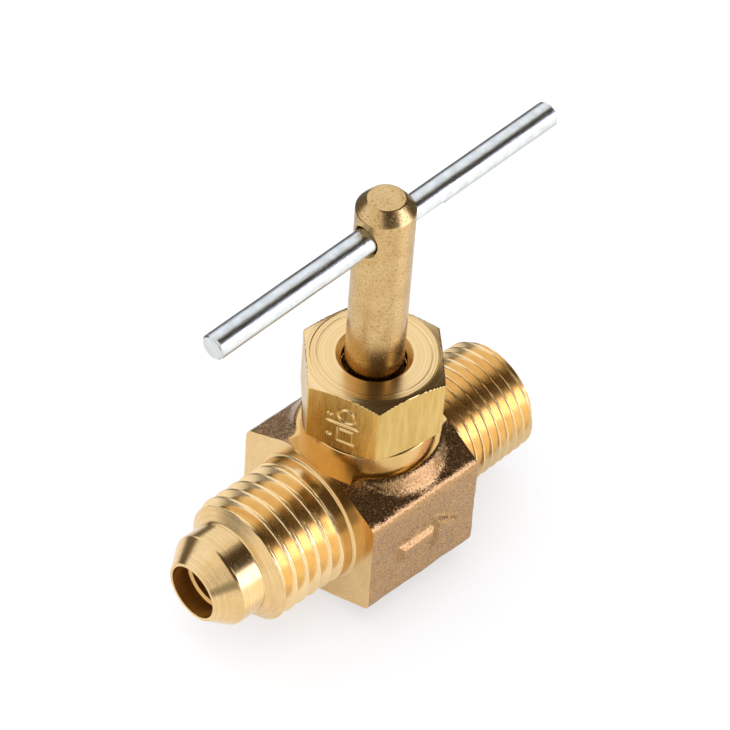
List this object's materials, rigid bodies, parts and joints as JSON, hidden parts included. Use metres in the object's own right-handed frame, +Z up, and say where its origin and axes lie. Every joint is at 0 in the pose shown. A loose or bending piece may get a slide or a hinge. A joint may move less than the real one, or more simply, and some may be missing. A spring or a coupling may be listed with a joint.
{
  "type": "needle valve",
  "caption": "Straight-through brass needle valve, flare thread on one end and tapered pipe thread on the other, worked by a T-bar through the stem.",
  "frame": {"origin": "on the stem axis, level with the bottom of the body, 7.7 mm below the flow axis", "axes": "+X along the flow axis out of the pipe-thread end, -X out of the flare end, +Z up the stem to the handle, -Y out of the side flat with the arrow"},
  "size_m": [0.0377, 0.0152, 0.0396],
  "materials": {
    "forged_brass": "sand-blasted forged faces, turned ends",
    "turned_brass": "fine turned",
    "zinc_plate": "bright zinc plate, drawn",
    "white_packing": "white fluoropolymer"
  },
  "bodies": {
    "valve_body": {"valve_body": "forged_brass", "packing_washer": "turned_brass", "packing_ring_lower": "white_packing", "packing_ring_middle": "white_packing", "packing_ring_upper": "white_packing"},
    "stem_seal_ring": {"stem_seal_ring": "white_packing"},
    "stem": {"stem": "turned_brass", "handle_bar": "zinc_plate"},
    "packing_gland": {"packing_gland": "turned_brass"},
    "packing_nut": {"packing_nut": "turned_brass"}
  },
  "joints": [
    {"name": "stem_lift", "type": "slide", "parent": "valve_body", "child": "stem_seal_ring", "axis": [0, 0, 1], "range_m": [-0.00136, 0.00136]},
    {"name": "stem_turn", "type": "hinge", "parent": "stem_seal_ring", "child": "stem", "pos_m": [0, 0, 0], "axis": [0, 0, 1], "range_deg": [-540, 540]},
    {"name": "gland_slide", "type": "slide", "parent": "valve_body", "child": "packing_gland", "axis": [0, 0, 1], "range_m": [0, 0.00317]},
    {"name": "nut_turn", "type": "hinge", "parent": "packing_gland", "child": "packing_nut", "pos_m": [0, 0, 0], "axis": [0, 0, 1], "range_deg": [0, 1080]}
  ],
  "couplings": [
    {"joint": "stem_turn", "follows": "stem_lift", "rad_per_m": 6927.5},
    {"joint": "nut_turn", "follows": "gland_slide", "rad_per_m": 5938.7}
  ]
}
